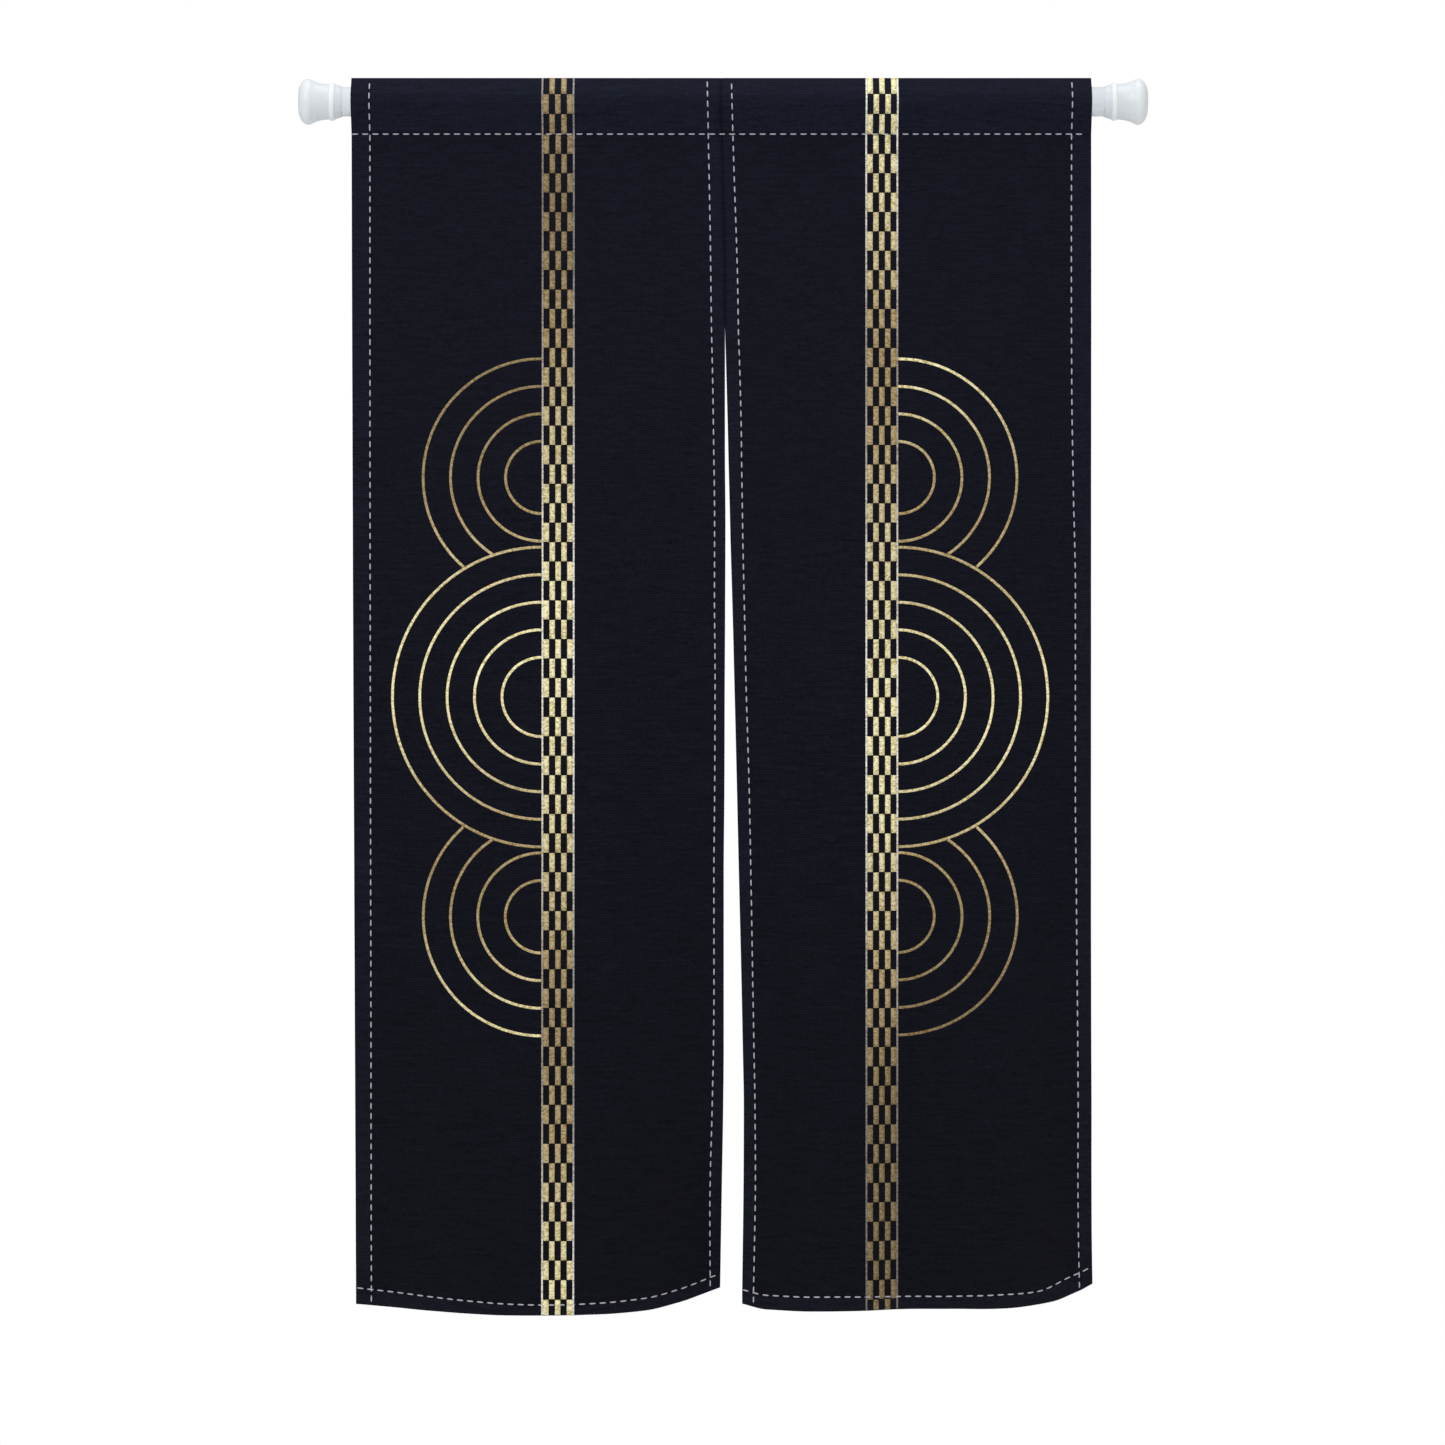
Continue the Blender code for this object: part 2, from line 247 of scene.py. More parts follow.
LEFT_BOTTOM_STITCH = table(
    "share inset",
    (0.00, 0.0190), (0.15, 0.0174), (0.30, 0.0150), (0.55, 0.0122),
    (0.80, 0.0145), (1.00, 0.0165),
)
RIGHT_BOTTOM_STITCH = table(
    "share inset",
    (0.00, 0.0166), (0.25, 0.0168), (0.45, 0.0150), (0.57, 0.0146),
    (0.66, 0.0154), (0.74, 0.0162), (0.83, 0.0152), (0.92, 0.0212),
    (1.00, 0.0205),
)

# The sewing thread: each stitch rises out of the cloth and dips into it at its ends
STITCH_PITCH = 0.011858
STITCH_LENGTH = 0.0082
STITCH_END_MARGIN = 0.001
STITCH_RISE = 0.42
STITCH_DIP = 0.75
STITCH_DIP_POWER = 3
STITCH_LEAST_SWELL = 0.12
STITCH_RINGS = 7
STITCH_SIDES = 8
THREAD_WIDTH = 0.0017
THREAD_HEIGHT = 0.0008

# The gold print: two check bands, and the fans of arcs beside them
BAND_WIDTH = 0.0382
BAND_LINE = 0.0020
BAND_COLUMNS = 5
CHECK_MARGIN = 0.00030
CHECK_ROWS = 70
FIRST_CHECK_DROP = -0.0070
BELOW_HEM = -1.5
NEAR_HEM_DROP = 1.38
PRINT_HEM_MARGIN = 0.0006
BACK_PRINT_END = -POCKET_STITCH_DROP - POCKET_TURNED_EDGE + 0.0004
PRINT_SINK = 0.00002
PRINT_LIFT = 0.00010
PRINT_THICKNESS = 0.00012
PATCH_STEP = 0.0045
SHORTEST_PATCH = 0.0005
# How much lower than an even row each check sits, where the cloth has stretched
CHECK_SAG = table(
    "drop left right",
    (0.22, 0.0000, -0.0002),
    (0.40, 0.0006, 0.0000),
    (0.85, 0.0011, 0.0000),
    (1.02, 0.0008, 0.0000),
    (1.20, 0.0001, -0.0002),
    (1.40, 0.0000, -0.0003),
)
STROKE = 0.0032
ARC_STEP = 0.003
ARC_SAMPLES = 721
FAN_MIDDLE_DROP = 0.6919
FAN_OVERLAP = 0.0002
FANS = table(
    "above_middle radius rings",
    (0.0, 0.1740, 5),
    (0.255, 0.1380, 4),
    (-0.255, 0.1380, 4),
)
RING_SPACING = 0.0320


def srgb(red, green, blue):
    """A linear colour from the 0 to 255 values that a picture shows."""
    shown = (value / 255 for value in (red, green, blue))
    linear = (s / 12.92 if s <= 0.04045 else ((s + 0.055) / 1.055) ** 2.4 for s in shown)
    return (*linear, 1.0)


# The cloth's colours at its top and its bottom: the darker bottom is painted shade, as of light
# from above that fades down the cloth
FIELD_TOP = srgb(23.8, 24, 35.5)
FIELD_BOTTOM = srgb(18.6, 19.8, 26.7)
HEM_TOP = srgb(24.7, 27.4, 40)
HEM_BOTTOM = srgb(23.5, 25, 34)
REVERSE = srgb(44, 46, 56)
THREAD_COLOUR = srgb(184, 183, 196)
GOLD_DARK = srgb(118, 100, 70)
GOLD_MIDDLE = srgb(183, 161, 119)
GOLD_PALE = srgb(253, 243, 196)
GOLD_WORN_OLIVE = (0.60, 0.58, 0.34, 1.0)
GOLD_WORN_TAN = (0.70, 0.58, 0.40, 1.0)
GOLD_BRIGHT = (1.18, 1.21, 1.20, 1.0)
ENAMEL_DULL = srgb(228, 234, 240)
ENAMEL_BRIGHT = srgb(234, 239, 245)
PLASTIC_DULL = srgb(219, 227, 232)
PLASTIC_BRIGHT = srgb(228, 234, 240)
# The white of the painted highlights on the caps
PLASTIC_PAINTED_HIGHLIGHT = srgb(249, 253, 255)
FLOOR_DULL = (0.90, 0.90, 0.90, 1.0)
FLOOR_BRIGHT = (0.93, 0.93, 0.93, 1.0)

# How pale the gold is at each drop, 0 for bronze and 1 for pale gold
LEFT_BAND_TONES = table(
    "drop pale",
    (-0.03, 0.36), (0.13, 0.18), (0.42, 0.72), (0.62, 0.98),
    (0.80, 0.86), (1.08, 0.31), (1.40, 0.95),
)
RIGHT_BAND_TONES = table(
    "drop pale",
    (-0.03, 1.00), (0.15, 0.72), (0.30, 0.38), (0.56, 0.78),
    (0.74, 0.98), (0.94, 0.66), (1.17, 0.17), (1.40, 0.12),
)
LEFT_FAN_TONES = table(
    "drop pale",
    (0.30, 0.20), (0.42, 0.30), (0.66, 1.00), (0.90, 0.36),
    (1.06, 0.85),
)
RIGHT_FAN_TONES = table(
    "drop pale",
    (0.30, 1.00), (0.47, 0.42), (0.70, 1.00), (0.92, 0.36),
    (1.06, 0.12),
)
BANDS = table(
    "side outward along check_height gold_first line_greys tones fan_tones",
    ("left", -1, 0.3014, 0.02253, False, (0.62, 0.83), LEFT_BAND_TONES, LEFT_FAN_TONES),
    ("right", 1, 0.6775, 0.02256, True, (0.72, 0.65), RIGHT_BAND_TONES, RIGHT_FAN_TONES),
)

# The noises of the materials, with their repeats in a metre along X, Y and Z
NOISES = table(
    "name repeats detail roughness",
    ("slubs", (18.0, 18.0, 240.0), 3.0, 0.6),
    ("weft_rows", (45.0, 45.0, 360.0), 1.0, 0.5),
    ("knots", (330.0, 330.0, 400.0), 1.0, 0.5),
    ("gold_mottle", (360.0, 360.0, 420.0), 1.0, 0.5),
    ("gold_hue", (150.0, 150.0, 190.0), 1.0, 0.5),
    ("fibres", (1400.0, 1400.0, 1400.0), 2.0, 0.7),
    ("enamel_cloud", (60.0, 240.0, 240.0), 3.0, 0.5),
    ("plastic_grain", (900.0, 900.0, 900.0), 2.0, 0.5),
    ("plastic_cloud", (45.0, 45.0, 45.0), 2.0, 0.5),
    ("floor_cloud", (3.0, 3.0, 3.0), 2.0, 0.5),
)
# How a material's values are turned from one range into another
RANGES = table(
    "name low high to_low to_high",
    # The painted shade that darkens the cloth further down
    ("cloth_fall", 0.0, -1.4, 0.0, 1.0),
    ("furrow_shade", 0.0, 1.0, 1.0, 0.62),
    ("cloth_shade", 1.1, 2.1, 0.64, 1.36),
    ("cloth_roughness", 0.3, 0.7, 0.86, 0.96),
    ("gold_hue", 0.35, 0.65, 0.0, 1.0),
    ("gold_wear", 0.50, 0.78, 0.0, 1.0),
    ("gold_roughness", 0.3, 0.7, 0.62, 0.42),
    ("thread_shade", 0.3, 0.7, 0.82, 1.08),
    ("thread_roughness", 0.3, 0.7, 0.62, 0.80),
    ("enamel_roughness", 0.3, 0.7, 0.24, 0.34),
    ("plastic_roughness", 0.3, 0.7, 0.34, 0.46),
    ("floor_fade", 1.6, 3.7, 1.0, 0.0),
)
WEAVE = {"Scale": 330.0, "Distortion": 0.6, "Detail": 1.0, "Detail Scale": 0.6}
# How the painted shade grows down the cloth
PAINTED_FALLOFF_POWER = 0.8
GOLD_MIDDLE_PLACE = 0.45

# The floor, the camera and the lights
FLOOR = {"vertices": 128, "radius": 3.8, "location": (0.5, 0.0, -2.1)}
CAMERA_DISTANCE = 6.3
SENSOR_WIDTH = 36.0
ROOM_LIGHT = 0.58
LIGHTS = table(
    "name place target size power",
    ("key", (-2.6, -5.0, 2.2), (0.49, 0.0, -0.65), 2.0, 88.0),
    ("fill", (3.6, -5.0, -0.4), (0.49, 0.0, -0.65), 2.4, 30.0),
    ("top", (0.5, -0.3, 4.0), (0.5, 0.0, 0.0), 3.0, 56.0),
)


def between(rows, key, value, at):
    """A table's values at an array of places along its key, on a smooth curve through its rows."""
    places = np.array([row[key] for row in rows])
    values = np.array([row[value] for row in rows])
    spans = np.diff(places)
    steps = np.diff(values) / spans
    slopes = np.empty(len(places))
    slopes[0], slopes[-1] = steps[0], steps[-1]
    before, after = steps[:-1], steps[1:]
    same_way = before * after > 0
    total = np.where(same_way, before + after, 1.0)
    slopes[1:-1] = np.where(same_way, 2 * before * after / total, 0.0)
    at = np.clip(at, places[0], places[-1])
    i = np.clip(np.searchsorted(places, at, side="right") - 1, 0, len(steps) - 1)
    span = spans[i]
    t = (at - places[i]) / span
    return (
        values[i] * (1 + 2 * t) * (1 - t) ** 2
        + values[i + 1] * t * t * (3 - 2 * t)
        + slopes[i] * span * t * (1 - t) ** 2
        + slopes[i + 1] * span * t * t * (t - 1)
    )


def bell(distance):
    """1 at no distance, falling smoothly to 0 at a distance of 1."""
    return 0.5 + 0.5 * np.cos(np.pi * np.minimum(np.abs(distance), 1.0))


def left_outer_edge(drop):
    return between(LEFT_OUTER_EDGE, "drop", "along", drop)


def right_outer_edge(drop):
    return between(RIGHT_OUTER_EDGE, "drop", "along", drop)


def seam_side(drop, side):
    """How far a panel's inner edge has drawn back from the seam line, less than nothing while the
    seam holds the two edges together."""
    held = (SLIT_HEAD_DROP - SEAM_OVERLAP_END - drop) / SEAM_OVERLAP_FADE
    held = np.clip(held, 0.0, 1.0)
    return between(SLIT_SIDES, "drop", side, drop) - SEAM_OVERLAP * held


def left_inner_edge(drop):
    return between(SEAM_LINE, "drop", "along", drop) - seam_side(drop, "left")


def right_inner_edge(drop):
    return between(SEAM_LINE, "drop", "along", drop) + seam_side(drop, "right")


PANELS = {
    "left": {
        "left_edge": left_outer_edge,
        "right_edge": left_inner_edge,
        "left_stitch": LEFT_OUTER_STITCH,
        "right_stitch": LEFT_INNER_STITCH,
        "bottom_stitch": LEFT_BOTTOM_STITCH,
        "hem_line": LEFT_HEM_LINE,
        "folds": LEFT_FOLDS,
        "curl": {"depth": 0.032, "across": 0.150, "up": 0.230},
        "ripple_phase": 0.4,
        "seam_side": "right",
        "first_stitch": {"left": 0.0065, "right": 0.0042, "bottom": 0.0010},
    },
    "right": {
        "left_edge": right_inner_edge,
        "right_edge": right_outer_edge,
        "left_stitch": RIGHT_INNER_STITCH,
        "right_stitch": RIGHT_OUTER_STITCH,
        "bottom_stitch": RIGHT_BOTTOM_STITCH,
        "hem_line": RIGHT_HEM_LINE,
        "folds": RIGHT_FOLDS,
        "curl": {"depth": 0.032, "across": 0.130, "up": 0.210},
        "ripple_phase": 2.1,
        "seam_side": "left",
        "first_stitch": {"left": 0.0069, "right": 0.0050, "bottom": 0.0},
    },
}
for panel in PANELS.values():
    panel["width"] = float(panel["right_edge"](0.0) - panel["left_edge"](0.0))


def lowest_drop(panel, share):
    """The drop of the bottom edge at a share of the panel's width."""
    return between(panel["hem_line"], "share", "drop", share)


def share_at(panel, along, drop):
    """The share of the panel's width at which a place along the rod lies."""
    left = panel["left_edge"](drop)
    return (along - left) / (panel["right_edge"](drop) - left)


def fold_depth(panel, share, drop):
    """How far back the cloth lies at a share of the panel's width and a drop: the sum of its folds,
    of the curl of its lower right corner and of the faint ripples between them."""
    lowest = lowest_drop(panel, share)
    depth = np.zeros(np.broadcast(share, drop).shape)
    for fold in panel["folds"]:
        fallen = np.maximum((drop - fold["start"]) / (lowest - fold["start"]), 0.0)
        middle = fold["upper"] + (fold["lower"] - fold["upper"]) * fallen
        across = bell((share - middle) / fold["half_width"])
        depth = depth + fold["depth"] * across * fallen**FOLD_GROWTH
    curl = panel["curl"]
    away = np.hypot((1 - share) * panel["width"] / curl["across"], (lowest - drop) / curl["up"])
    depth = depth + curl["depth"] * bell(away)
    return depth + ripples(panel, share, drop)


def ripples(panel, share, drop):
    """The faint unevenness of cloth that hangs free."""
    freedom = np.clip((drop - RIPPLE_START) / RIPPLE_RISE, 0.0, 1.0)
    total = np.zeros(np.broadcast(share, drop).shape)
    for i, ripple in enumerate(RIPPLES):
        turn = ripple["across"] * share + ripple["down"] * drop
        total = total + ripple["height"] * np.sin(2 * np.pi * turn + panel["ripple_phase"] + i)
    return total * freedom


def pocket_section(offset):
    """The front of the pocket's section, from the crease down to the stitch line, as rows of
    (y, z) at an offset from its inner face."""
    rod_radius = TUBE_RADIUS + POCKET_CLEARANCE
    inner_crease = CREASE_RADIUS - SHEET
    crease_height = CLOTH_TOP - CREASE_RADIUS
    below = math.asin(rod_radius / POCKET_STITCH_DROP)
    above = math.asin((rod_radius - inner_crease) / crease_height)
    stitch = np.array([-offset, -POCKET_STITCH_DROP - offset * math.tan(below / 2)])
    turn = np.linspace(above, -below, ROD_ARC_ROWS)
    arc = (rod_radius + offset) * np.stack([-np.cos(turn), np.sin(turn)], 1)
    turn = np.linspace(math.pi / 2, above, CREASE_ROWS)
    crease = (inner_crease + offset) * np.stack([-np.cos(turn), np.sin(turn)], 1)
    crease = crease + [0, crease_height]
    upper_face = crease[-1] + (arc[0] - crease[-1]) * np.linspace(0, 1, UPPER_FACE_ROWS)[1:-1, None]
    lower_face = arc[-1] + (stitch - arc[-1]) * np.linspace(0, 1, LOWER_FACE_ROWS)[1:, None]
    return np.concatenate([crease, upper_face, arc, lower_face])


def rim(distance, radius):
    """The share of its full thickness that the cloth has at a distance from a rounded edge."""
    inside = np.clip(distance / radius, 0.0, 1.0)
    return np.maximum(np.sqrt(inside * (2 - inside)), RIM_LEAST)


def seam_hold(drop):
    """1 where the seam holds the two panels together, 0 from a little below the slit's head."""
    return np.clip((SLIT_HEAD_DROP + SEAM_RELEASE - drop) / (2 * SEAM_RELEASE), 0.0, 1.0)


def side_insets(panel, drop):
    """How far the stitch lines of the left and right hems lie from their edges at a drop."""
    sides = (panel["left_stitch"], panel["right_stitch"])
    return [between(side, "drop", "inset", drop) for side in sides]


def edge_distances(panel, along, drop):
    """For places on a panel: the distances from its left and right edges and from its seam, and the
    share of its full thickness that the cloth has beside these edges."""
    from_left = along - panel["left_edge"](drop)
    from_right = panel["right_edge"](drop) - along
    from_seam = from_right if panel["seam_side"] == "right" else from_left
    full = np.minimum(rim(from_left, RIM_ROUND), rim(from_right, RIM_ROUND))
    return from_left, from_right, from_seam, full


def hanging_faces(panel, along, drop):
    """The y of the sheet's front and back faces below the pocket, and three marks: how far a place
    is in a hem or the header, how much painted shade it has in the furrow of a stitch line or of
    the seam, and on the back in the cloth's reverse."""
    from_left, from_right, from_seam, full = edge_distances(panel, along, drop)
    share = share_at(panel, along, drop)
    from_bottom = lowest_drop(panel, share) - drop
    left_inset, right_inset = side_insets(panel, drop)
    bottom_inset = between(panel["bottom_stitch"], "share", "inset", share)
    past_sides = [left_inset - from_left, right_inset - from_right]
    past = np.stack([*past_sides, bottom_inset - from_bottom, POCKET_STITCH_DROP - drop])
    in_hem = past[:3].max(0) > -HEM_PAST_STITCH
    in_header = drop < POCKET_STITCH_DROP + POCKET_TURNED_EDGE
    extra = np.where(in_hem, HEM_EXTRA, np.where(in_header, SHEET, 0.0))
    full = np.minimum(full, rim(from_bottom, RIM_ROUND))
    middle = fold_depth(panel, share, drop) + (extra - SHEET) / 2
    half = (extra + SHEET) / 2 * full
    from_stitches = np.abs(past).min(0)
    groove = STITCH_GROOVE * bell(from_stitches / GROOVE_HALF_WIDTH)
    groove = groove + SEAM_GROOVE * (1 - rim(from_seam, SEAM_ROUND)) * seam_hold(drop)
    hem_mark = np.clip(0.5 + (past.max(0) - HEM_TONE_START) / HEM_TONE_BLEND, 0.0, 1.0)
    # Painted shade in the furrows of the stitch lines and of the seam
    seam_furrow_shade = bell(from_seam / SEAM_FURROW_HALF_WIDTH) * seam_hold(drop)
    furrow_shade_mark = np.maximum(FURROW_PAINTED_SHADE * bell(from_stitches / FURROW_HALF_WIDTH), seam_furrow_shade)
    reverse_mark = np.where(in_hem | in_header, 0.0, 1.0)
    marks = np.stack([hem_mark, furrow_shade_mark, reverse_mark], -1)
    return middle - half + groove, middle + half, marks


def front_drops(panel, share):
    """The drops of the rows below the pocket at shares of the width, down to the bottom edge."""
    lowest = lowest_drop(panel, share)
    inset = between(panel["bottom_stitch"], "share", "inset", share)
    hem = [lowest - line["fixed"] - line["of_inset"] * inset for line in reversed(HEM_LINES)]
    header = [np.full_like(lowest, drop) for drop in HEADER_DROPS]
    steps = np.arange(1, FIELD_ROWS)[:, None] / FIELD_ROWS
    field = header[-1] + (hem[0] - header[-1]) * steps
    return np.concatenate([header, field, hem])


def outer_face(panel, place, side, lift=0.0):
    """The outer face of the front (side -1) or back (side 1) of the sheet, from the crease down to
    the bottom edge, as rows of columns of (x, y, z), with the three marks of each point. place
    gives the columns' places along the rod at an array of drops with a column axis."""
    nominal = place(np.full((1, 1), MIDDLE_DROP))
    share = share_at(panel, nominal, MIDDLE_DROP)[0]
    section = pocket_section(SHEET)[:, None, :]
    inner = pocket_section(0.0)[:, None, :]
    pocket_drop = np.repeat(-section[:, :, 1], len(share), 1)
    pocket_along = place(pocket_drop)
    thick = pocket_fullness(panel, pocket_along, pocket_drop)[..., None]
    pocket = inner + (section - inner) * (thick + lift / SHEET)
    drop = front_drops(panel, share)
    along = place(drop)
    front, back, marks = hanging_faces(panel, along, drop)
    y = front - lift if side < 0 else back + lift
    x = np.concatenate([pocket_along, along])
    y = np.concatenate([-side * pocket[..., 0], y])
    z = np.concatenate([pocket[..., 1], -drop])
    _, _, pocket_marks = hanging_faces(panel, pocket_along, pocket_drop)
    pocket_marks[..., 2] = 0.0
    marks = np.concatenate([pocket_marks, marks])
    if side < 0:
        marks[..., 2] = 0.0
    return np.stack([x, y, z], -1), marks


def pocket_fullness(panel, along, drop):
    """The share of its thickness at which the pocket's outer face lies, less at its ends and in
    the groove of the seam."""
    _, _, from_seam, full = edge_distances(panel, along, drop)
    return 0.5 + 0.5 * full - SEAM_PINCH * (1 - rim(from_seam, SEAM_ROUND))


def inner_face(panel, place, side):
    """The pocket's inner face on one side, from the crease to the stitch line."""
    section = pocket_section(0.0)
    outward = pocket_section(SHEET) - section
    drop = -section[:, None, 1]
    along = place(drop)
    full = edge_distances(panel, along, drop)[-1]
    pulled = (0.5 - 0.5 * full) * RIM_PULL
    pulled[-1] = 0.0
    points = section[:, None, :] + outward[:, None, :] * pulled[..., None]
    return np.stack([along, -side * points[..., 0], points[..., 1]], -1)


def sheet_columns(panel):
    """A function of an array of drops that gives the places of the sheet's columns there. The
    array has one column, or one for each column of the sheet."""
    hem = len(HEM_LINES)
    fixed = np.array([line["fixed"] for line in HEM_LINES])
    of_inset = np.array([line["of_inset"] for line in HEM_LINES])
    steps = np.arange(1, FIELD_COLUMNS)

    def place(drop):
        drop = np.broadcast_to(drop, (len(drop), 2 * hem + len(steps)))
        left, right = panel["left_edge"](drop), panel["right_edge"](drop)
        left_inset, right_inset = side_insets(panel, drop)
        left_hem = left[:, :hem] + (fixed + of_inset * left_inset[:, :hem])
        right_hem = fixed[::-1] + of_inset[::-1] * right_inset[:, -hem:]
        start = (left + fixed[-1] + left_inset)[:, hem:-hem]
        end = (right - fixed[-1] - right_inset)[:, hem:-hem]
        field = start + (end - start) * steps / FIELD_COLUMNS
        return np.concatenate([left_hem, field, right[:, -hem:] - right_hem], 1)

    return place


def grid_faces(index):
    """The quads of a grid of vertex numbers."""
    quads = np.stack([index[:-1, :-1], index[:-1, 1:], index[1:, 1:], index[1:, :-1]], -1)
    return quads.reshape(-1, 4)


def strip_faces(first, second):
    """The quads between two rows of vertex numbers of the same length."""
    return grid_faces(np.stack([first, second]))


def new_piece(name, points, faces):
    """A smooth mesh object of the given points and faces, with its faces turned outward."""
    mesh = bpy.data.meshes.new(name)
    mesh.from_pydata(points.tolist(), [], [list(map(int, face)) for face in faces])
    piece = bpy.data.objects.new(name, mesh)
    bpy.context.scene.collection.objects.link(piece)
    shape = bmesh.new()
    shape.from_mesh(mesh)
    bmesh.ops.recalc_face_normals(shape, faces=shape.faces)
    shape.to_mesh(mesh)
    shape.free()
    mesh.shade_smooth()
    return piece


def set_mark(piece, name, values):
    """Stores a number for each vertex under a name that materials read."""
    mark = piece.data.attributes.new(name, "FLOAT", "POINT")
    mark.data.foreach_set("value", np.asarray(values, dtype=np.float32).ravel())


class Gathered:
    """Blocks of points with their marks, and faces, gathered into one mesh."""

    def __init__(self, *mark_names):
        self.mark_names = mark_names
        self.points = []
        self.marks = []
        self.faces = []
        self.count = 0

    def add(self, block, marks=()):
        """Adds a block of points with their marks, and returns the points' numbers."""
        shape = block.shape[:-1]
        numbers = self.count + np.arange(math.prod(shape)).reshape(shape)
        self.count += numbers.size
        self.points.append(block.reshape(-1, 3))
        marks = np.broadcast_to(marks, (*shape, len(self.mark_names)))
        self.marks.append(marks.reshape(numbers.size, len(self.mark_names)))
        return numbers

    def piece(self, name):
        """The mesh object of what was gathered."""
        piece = new_piece(name, np.concatenate(self.points), self.faces)
        marks = np.concatenate(self.marks)
        for k, mark_name in enumerate(self.mark_names):
            set_mark(piece, mark_name, marks[:, k])
        return piece


def sheet_piece(name, panel):
    """One panel's cloth as a closed sheet: its two outer faces, the pocket's inner faces and the
    strips that close the sides and the bottom edge."""
    place = sheet_columns(panel)
    front, front_marks = outer_face(panel, place, -1)
    back, back_marks = outer_face(panel, place, 1)
    inner_front = inner_face(panel, place, -1)
    inner_back = inner_face(panel, place, 1)
    sheet = Gathered("hem", "furrow", "reverse")
    inside = (0.0, 0.0, 1.0)
    front_out = sheet.add(front, front_marks)
    back_out = np.concatenate([front_out[:1], sheet.add(back[1:], back_marks[1:])])
    front_in = sheet.add(inner_front, inside)
    back_in = np.concatenate([front_in[:1], sheet.add(inner_back[1:-1], inside), front_in[-1:]])
    faces = [grid_faces(front_out), grid_faces(back_out)[:, ::-1]]
    faces += [grid_faces(front_in)[:, ::-1], grid_faces(back_in)]
    stitch = POCKET_ROWS - 1
    triangles = []
    for j in (0, -1):
        faces.append(strip_faces(front_out[:POCKET_ROWS, j], front_in[:, j]))
        faces.append(strip_faces(back_out[:POCKET_ROWS, j], back_in[:, j]))
        faces.append(strip_faces(front_out[stitch:, j], back_out[stitch:, j]))
        triangles.append((front_out[stitch, j], front_in[-1, j], back_out[stitch, j]))
    faces.append(strip_faces(front_out[-1], back_out[-1]))
    sheet.faces = np.concatenate(faces).tolist() + triangles
    return sheet.piece(name), front, back


def normals_of(face, side):
    """The outward directions of a face that is given as rows of columns of points."""
    down = np.gradient(face, axis=0)
    across = np.gradient(face, axis=1)
    normal = np.cross(across, down)
    normal = normal / np.maximum(np.linalg.norm(normal, axis=-1, keepdims=True), 1e-12)
    flip = np.sign(normal[..., 1:2].mean()) != side
    return -normal if flip else normal


def add_stitches(thread, line, normals, start):
    """Adds the dashes of thread along a line of points, from a distance along it as seen from the
    front. Each dash is a short bent round of thread that dips into the cloth at both ends."""
    steps = np.hypot(np.diff(line[:, 0]), np.diff(line[:, 2]))
    travelled = np.concatenate([[0.0], np.cumsum(steps)])
    last = travelled[-1] - STITCH_LENGTH - STITCH_END_MARGIN
    first = np.arange(start, last, STITCH_PITCH)
    t = np.linspace(-1, 1, STITCH_RINGS)
    at = first[:, None] + STITCH_LENGTH * (0.5 + 0.5 * t)
    centre = np.stack([np.interp(at, travelled, line[:, k]) for k in range(3)], -1)
    normal = np.stack([np.interp(at, travelled, normals[:, k]) for k in range(3)], -1)
    normal /= np.linalg.norm(normal, axis=-1, keepdims=True)
    tangent = np.gradient(centre, axis=1)
    tangent /= np.linalg.norm(tangent, axis=-1, keepdims=True)
    across = np.cross(tangent, normal)
    dip = np.abs(t) ** STITCH_DIP_POWER
    swell = np.sqrt(np.maximum(1 - dip, STITCH_LEAST_SWELL))[:, None, None]
    rise = (THREAD_HEIGHT * (STITCH_RISE - STITCH_DIP * dip))[:, None]
    turn = np.arange(STITCH_SIDES) * 2 * math.pi / STITCH_SIDES
    wide = (THREAD_WIDTH / 2 * np.cos(turn))[:, None]
    high = (THREAD_HEIGHT / 2 * np.sin(turn))[:, None]
    middle = centre + normal * rise
    rings = middle[:, :, None, :] + swell * (wide * across[:, :, None, :])
    rings = rings + swell * (high * normal[:, :, None, :])
    index = thread.add(rings)
    following = np.roll(index, -1, axis=2)
    sides = np.stack([index[:, :-1], following[:, :-1], following[:, 1:], index[:, 1:]], -1)
    thread.faces += sides.reshape(-1, 4).tolist() + index[:, 0].tolist() + index[:, -1].tolist()


def thread_piece(name, rows):
    """The thread of some stitch lines, each given as its points, outward directions and start."""
    thread = Gathered()
    for line, normals, start in rows:
        add_stitches(thread, line, normals, start)
    return thread.piece(name)


def hem_stitches(panel, front, back):
    """The stitch lines of a panel's hems, in front and, half a stitch further along, behind."""
    bottom = front.shape[0] - 1 - STITCH_LINE
    right = front.shape[1] - 1 - STITCH_LINE
    start = panel["first_stitch"]
    rows = []
    for face, side, shift in ((front, -1, 0.0), (back, 1, STITCH_PITCH / 2)):
        normals = normals_of(face, side)
        rows.append((face[:, STITCH_LINE], normals[:, STITCH_LINE], start["left"] + shift))
        rows.append((face[:, right], normals[:, right], start["right"] + shift))
        rows.append((face[bottom], normals[bottom], start["bottom"] + shift))
    return rows


def header_stitches(panel_faces):
    """The stitch line of the header, which runs on over both panels, in front and behind."""
    rows = []
    for k, side, shift in ((0, -1, 0.0), (1, 1, STITCH_PITCH / 2)):
        lines = [faces[k][POCKET_ROWS - 1] for faces in panel_faces]
        directions = [normals_of(faces[k], side)[POCKET_ROWS - 1] for faces in panel_faces]
        rows.append((np.concatenate(lines), np.concatenate(directions), shift))
    return rows


